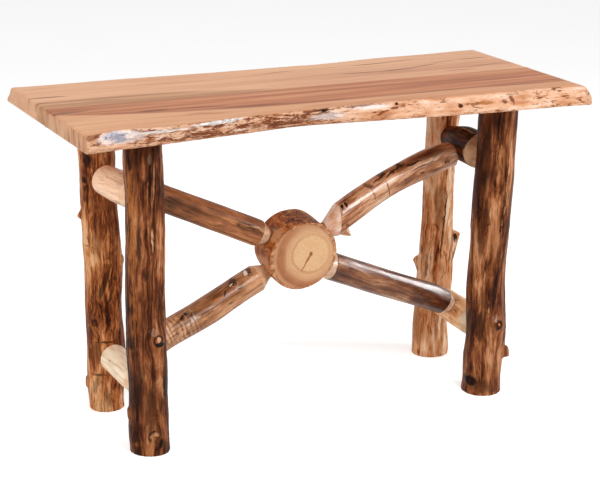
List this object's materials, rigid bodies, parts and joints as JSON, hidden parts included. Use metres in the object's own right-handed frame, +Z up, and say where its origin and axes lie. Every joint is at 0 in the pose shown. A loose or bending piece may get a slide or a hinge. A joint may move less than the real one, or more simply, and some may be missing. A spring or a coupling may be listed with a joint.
{
  "type": "sofa table",
  "caption": "Rustic log sofa table: a long two-board live-edge top on peeled log legs, with log braces that meet at a log slice.",
  "frame": {"origin": "on the floor under the middle of the top", "axes": "+X along the length to the right end seen from the front, +Y to the back, +Z up"},
  "size_m": [1.23, 0.549, 0.762],
  "materials": {
    "board wood": "satin",
    "leg wood": "satin",
    "rail wood": "satin",
    "brace wood": "satin",
    "hub wood": "satin",
    "dowel wood": "matte",
    "plug wood": "satin",
    "screw steel": "satin"
  },
  "bodies": {
    "root": {"top_board_front": "board wood", "top_board_back": "board wood", "leg_front_left": "leg wood", "leg_front_right": "leg wood", "leg_back_left": "leg wood", "leg_back_right": "leg wood", "end_rail_upper_left": "rail wood", "end_rail_lower_left": "rail wood", "end_rail_upper_right": "rail wood", "end_rail_lower_right": "rail wood", "brace_upper_left": "brace wood", "brace_lower_left": "brace wood", "brace_upper_right": "brace wood", "brace_lower_right": "brace wood", "centre_hub": "hub wood", "top_dowels": "dowel wood", "rail_tenon_screws": "screw steel", "brace_tenon_screws": "screw steel", "hub_tenon_screws": "screw steel", "leg_screw_plugs": "plug wood", "rail_screw_plugs": "plug wood", "hub_screw_plugs": "plug wood"}
  },
  "joints": []
}
